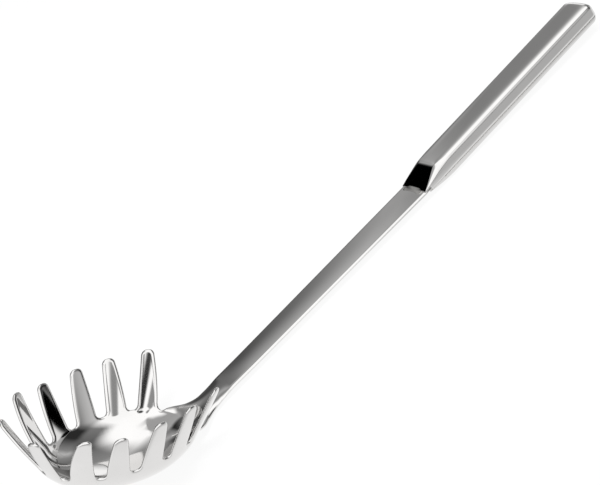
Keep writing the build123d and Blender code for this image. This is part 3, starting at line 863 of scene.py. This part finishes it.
def table_material(settings):
    """Matt white card, seen pale; in the steel's reflections it glows with a painted pool of
    light, brightest under the server, and a painted dark patch.
    """
    material = bpy.data.materials.new("white card with painted reflections")
    tree = empty_tree(material)
    rays = add_node(tree, "LightPath")
    place = add_node(tree, "TexCoord")
    split = add_node(tree, "SeparateXYZ", [(0, place.outputs["Object"])])
    side = add_node(tree, "Math", [(0, split.outputs["Y"])], operation="ABSOLUTE")
    # Painted pool of light, seen only in the steel's reflections: its brightness by distance from
    # the server
    pool = blended(
        tree, share_between(tree, split.outputs["X"], *PAINTED_POOL_CHANGE),
        ramp_node(tree, side.outputs[0], HEAD_PAINTED_POOL, 0, 1),
        ramp_node(tree, side.outputs[0], HANDLE_PAINTED_POOL, 0, 1),
    )
    # The painted dark patch: an oval inside which the card shows no glow in the steel's
    # reflections
    x, y, turn, long, wide, soft = PAINTED_DARK_PATCH
    card = add_node(
        tree, "Mapping", [("Vector", place.outputs["Object"])], vector_type="TEXTURE",
        Location=(x, y, 0), Rotation=(0, 0, np.radians(turn)), Scale=(long, wide, 1),
    )
    far = add_node(tree, "VectorMath", [(0, card.outputs["Vector"])], operation="LENGTH")
    clear = share_between(tree, far.outputs["Value"], 1 - soft, 1 + soft)
    # The card's glow in reflections: the painted pool, put out inside the painted dark patch
    glossy = add_node(tree, "Emission", [("Color", pool), ("Strength", clear)])
    matte = add_node(tree, "BsdfDiffuse", Color=settings.floor)
    white = add_node(tree, "Emission", Color=(1, 1, 1, 1))
    seen = add_node(tree, "Math", [(0, rays.outputs["Is Camera Ray"])], operation="MULTIPLY")
    seen.inputs[1].default_value = settings.floor_glow
    shaded = mixed(tree, seen.outputs[0], matte, white)
    surface = mixed(tree, rays.outputs["Is Glossy Ray"], shaded, glossy)
    add_node(tree, "OutputMaterial", [("Surface", surface.outputs[0])])
    return material


def radians_of(stops):
    """The same stops with their places in radians."""
    return [(np.radians(place), level) for place, level in stops]


def studio_world():
    """Studio as the steel shows it: bands of light and dark above each other, round screens.

    The camera itself sees plain white in its place.
    """
    world = bpy.data.worlds.new("studio")
    tree = empty_tree(world)
    rays = add_node(tree, "LightPath")
    place = add_node(tree, "TexCoord")
    split = add_node(tree, "SeparateXYZ", [(0, place.outputs["Generated"])])
    turn = add_node(
        tree, "Math", [(0, split.outputs["Y"]), (1, split.outputs["X"])], operation="ARCTAN2"
    )
    rise = add_node(tree, "Math", [(0, split.outputs["Z"])], operation="ARCSINE")
    room = ramp_node(tree, turn.outputs[0], radians_of(LOWEST_BAND), -np.pi, np.pi)
    for low, high, stops in BANDS:
        share = share_between(tree, rise.outputs[0], np.radians(low), np.radians(high))
        band = ramp_node(tree, turn.outputs[0], radians_of(stops), -np.pi, np.pi)
        room = blended(tree, share, room, band)
    for azimuth, height, radius, level in SCREENS:
        azimuth, height = np.radians(azimuth), np.radians(height)
        middle = add_node(
            tree, "VectorMath", [(0, place.outputs["Generated"])], operation="DOT_PRODUCT"
        )
        middle.inputs[1].default_value = (
            np.cos(azimuth) * np.cos(height), np.sin(azimuth) * np.cos(height), np.sin(height)
        )
        covered = share_between(
            tree, middle.outputs["Value"],
            np.cos(np.radians(radius + SCREEN_EDGE)), np.cos(np.radians(radius - SCREEN_EDGE)),
        )
        screen = add_node(tree, "RGB")
        screen.outputs[0].default_value = (level, level, level, 1)
        room = blended(tree, covered, room, screen.outputs[0])
    walls = add_node(tree, "Background", [("Color", room)])
    white = add_node(tree, "Background", Color=(1, 1, 1, 1))
    surface = mixed(tree, rays.outputs["Is Camera Ray"], walls, white)
    add_node(tree, "OutputWorld", [("Surface", surface.outputs[0])])
    return world


# Operators


class SERVER_OT_head(bpy.types.Operator):
    """Build the stamped head with its tines, neck, shank and tang"""

    bl_idname = "server.head"
    bl_label = "Head and shank"

    def execute(self, context):
        head, handle = context.scene.server_head, context.scene.server_handle
        grids, seam = head_grids(head, handle)
        points, quads = join_grids(grids)
        pull = seam_pull(points, quads, seam, head.seam_reach)
        points = relax(points, quads, pull, RELAX_ROUNDS)
        points, quads = thicken(points, quads, head.sheet, head.edge_round)
        piece = add_mesh("stamped_head_and_shank", placed(head, handle, points), quads)
        give(piece, polished(context.scene.server_finish))
        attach(piece, BODY)
        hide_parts("head_and_shank")
        return {"FINISHED"}


class SERVER_OT_handle(bpy.types.Operator):
    """Build the upper and the lower pressed shell of the handle"""

    bl_idname = "server.handle"
    bl_label = "Handle shells"

    def execute(self, context):
        head, handle = context.scene.server_head, context.scene.server_handle
        under = -(head.sheet + handle.seam)
        upper = shell_grid(
            handle, start=0, ramp=handle.ramp, skirt=-head.sheet, reach=handle.top,
            radius=handle.top_round, lean=handle.top_lean,
        )
        lower = shell_grid(
            handle, start=handle.nose_start, ramp=handle.nose_length, skirt=0,
            reach=handle.depth - handle.top + under, radius=handle.bottom_round, lean=0,
        )
        # Each shell's seam lies at a level, and its section climbs up or down from there
        for name, grid, level, way in (("upper", upper, 0, 1), ("lower", lower, under, -1)):
            along, across, up = grid
            points = handle_points(head, handle, along, across, level + way * up)
            points = placed(head, handle, points).reshape(-1, 3)
            quads = grid_quads(*along.shape)[:, ::way]
            piece = add_mesh("handle_" + name + "_shell_polished", points, quads)
            thick = piece.modifiers.new("wall", "SOLIDIFY")
            thick.thickness = handle.wall
            thick.offset = -1
            give(piece, polished(context.scene.server_finish))
            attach(piece, BODY)
            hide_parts("handle_" + name + "_shell")
        return {"FINISHED"}


def bead_grid(head, handle):
    """Weld bead dressed down to a soft fillet in the corner at the slanted front's foot.

    Rings share out a superellipse of the fourth power. Each point lies at the softer of the
    strap's and the slanted front's heights, the root of half their squared difference and the
    squared swell above their mean, and the rim sinks under both. The last rings go underneath.
    """
    turn = np.linspace(0, 2 * np.pi, BEAD_COLUMNS)
    share = np.linspace(0, 1, BEAD_RINGS)[:, None]
    bow = 1 / (np.cos(turn) ** 4 + np.sin(turn) ** 4) ** 0.25
    along = handle.bead_place + handle.bead_length / 2 * share * bow * np.cos(turn)
    across = handle.bead_width / 2 * share * bow * np.sin(turn)
    strap = -along * np.tan(handle.slope - head.shank_slope)
    slant = along * handle.top / handle.ramp
    swell = handle.bead_height * (1 - share ** 2)
    up = (strap + slant) / 2 + np.sqrt(((strap - slant) / 2) ** 2 + swell ** 2)
    up = up - handle.bead_sink * share ** 2
    under = up[::-1] - handle.bead_depth * (1 - share[::-1] ** 2)
    return (
        np.concatenate([along, along[-2::-1]]), np.concatenate([across, across[-2::-1]]),
        np.concatenate([up, under[1:]]),
    )


class SERVER_OT_joints(bpy.types.Operator):
    """Give the seam's filler and the two weld beads their finish"""

    bl_idname = "server.joints"
    bl_label = "Seam and welds"

    def execute(self, context):
        finish = context.scene.server_finish
        # Braze metal, duller and warmer than the steel beside it, so the seam reads as a line
        braze = steel_material(
            "dressed silver braze", finish.braze, finish.weld, roughness=0.35, coarseness=0.2
        )
        # Ground weld metal, a little duller than the polished sheet
        weld = steel_material(
            "dressed weld", finish.steel_cloud, finish.weld, roughness=0.14, coarseness=0.3
        )
        for node, material, slot in (
            ("handle_seam_braze", braze, "braze"),
            ("neck_weld_under", weld, "weld"),
        ):
            piece = frame["nodes"][node]
            give(piece, material)
        head, handle = context.scene.server_head, context.scene.server_handle
        points, quads = join_grids([handle_points(head, handle, *bead_grid(head, handle))])
        piece = add_mesh("neck_weld_top_dressed", placed(head, handle, points), quads)
        give(piece, weld)
        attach(piece, BODY)
        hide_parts("neck_weld_top")
        return {"FINISHED"}


class SERVER_OT_stage(bpy.types.Operator):
    """Set up the floor, the light and the camera"""

    bl_idname = "server.stage"
    bl_label = "Stage"

    def execute(self, context):
        scene, settings = context.scene, context.scene.server_stage
        scene.view_settings.view_transform = "Standard"

        head, handle = scene.server_head, scene.server_handle
        origin, eye, right, ahead = placed(head, handle, np.array([
            (0, 0, 0), settings.eye, settings.right, settings.ahead
        ]))
        right, ahead = right - origin, ahead - origin
        ahead /= np.linalg.norm(ahead)
        right -= ahead * (right @ ahead)
        right /= np.linalg.norm(right)
        camera_data = bpy.data.cameras.new("camera")
        camera_data.lens = settings.lens
        camera_data.sensor_fit = "HORIZONTAL"
        camera_data.clip_start = settings.near
        camera = bpy.data.objects.new("camera", camera_data)
        matrix = np.eye(4)
        matrix[:3] = np.column_stack([right, np.cross(right, ahead), -ahead, eye])
        camera.matrix_world = matrix.T.tolist()
        scene.collection.objects.link(camera)
        scene.camera = camera

        corners = np.array([[-1, -1, 0], [1, -1, 0], [1, 1, 0], [-1, 1, 0]])
        floor = add_mesh("floor", settings.floor_reach * corners, np.array([[0, 1, 2, 3]]))
        floor.data.materials.append(table_material(settings))
        scene.world = studio_world()

        lamp_data = bpy.data.lights.new("overhead", "AREA")
        lamp_data.shape = "RECTANGLE"
        lamp_data.size, lamp_data.size_y = settings.lamp_size
        lamp_data.energy = settings.lamp_power
        lamp = bpy.data.objects.new("overhead", lamp_data)
        lamp.location = settings.lamp_place
        lamp.visible_glossy = False
        scene.collection.objects.link(lamp)
        return {"FINISHED"}


class SERVER_PT_panel(bpy.types.Panel):
    """Buttons for each step and the sizes behind them"""

    bl_idname = "SERVER_PT_panel"
    bl_label = "Pasta server"
    bl_space_type = "VIEW_3D"
    bl_region_type = "UI"
    bl_category = "Pasta server"

    def draw(self, context):
        for step in STEPS:
            self.layout.operator(step.bl_idname)
        for group in GROUPS:
            settings = getattr(context.scene, group)
            for name in settings.bl_rna.properties.keys():
                if name not in ("name", "rna_type"):
                    self.layout.prop(settings, name)


GROUPS = {
    "server_head": HeadSizes, "server_handle": HandleSizes,
    "server_finish": ServerFinish, "server_stage": StageSettings,
}
STEPS = (SERVER_OT_head, SERVER_OT_handle, SERVER_OT_joints, SERVER_OT_stage)


def register():
    """Registers every class and hangs the settings on the scene."""
    for kind in (*GROUPS.values(), *STEPS, SERVER_PT_panel):
        bpy.utils.register_class(kind)
    for name, kind in GROUPS.items():
        setattr(bpy.types.Scene, name, bpy.props.PointerProperty(type=kind))


def unregister():
    """Takes the settings off the scene and unregisters every class."""
    for name in GROUPS:
        delattr(bpy.types.Scene, name)
    for kind in reversed((*GROUPS.values(), *STEPS, SERVER_PT_panel)):
        bpy.utils.unregister_class(kind)


def main():
    """Registers the add-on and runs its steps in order."""
    register()
    bpy.ops.server.head()
    bpy.ops.server.handle()
    bpy.ops.server.joints()
    bpy.ops.server.stage()


if __name__ == "__main__":
    main()
